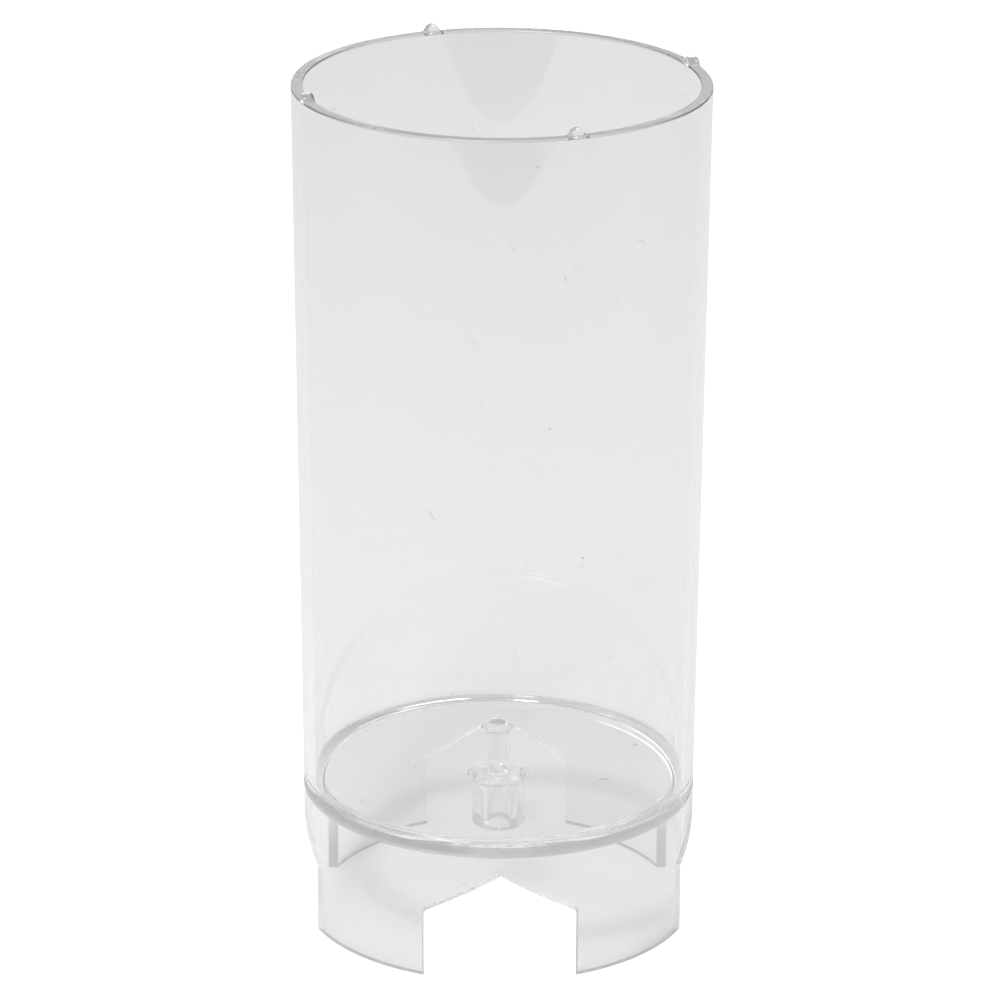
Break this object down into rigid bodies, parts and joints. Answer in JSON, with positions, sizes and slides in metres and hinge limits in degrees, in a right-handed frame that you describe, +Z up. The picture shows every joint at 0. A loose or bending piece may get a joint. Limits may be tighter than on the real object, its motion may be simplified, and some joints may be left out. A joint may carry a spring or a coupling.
{
  "type": "protein skimmer",
  "caption": "Clear tapered body cylinder of a small protein skimmer, open at the top, on a skirt foot with gabled openings, with a floor disc that carries a socket and an air nozzle.",
  "frame": {"origin": "on the ground at the cylinder's axis", "axes": "+Z up the cylinder's axis, -Y to the front, +Y towards the air nozzle"},
  "size_m": [0.092, 0.092, 0.1967],
  "materials": {
    "clear_wall": "polished clear plastic with faint handling marks",
    "clear_floor": "polished clear plastic",
    "set_cement": "clear solvent cement, set glossy"
  },
  "bodies": {
    "root": {"body_tube": "clear_wall", "foot_skirt": "clear_wall", "rim_pip_1": "clear_wall", "rim_pip_2": "clear_wall", "rim_pip_3": "clear_wall", "rim_pip_4": "clear_wall", "floor_disc": "clear_floor", "centre_socket": "clear_floor", "air_nozzle": "clear_floor", "floor_bead": "set_cement"}
  },
  "joints": []
}
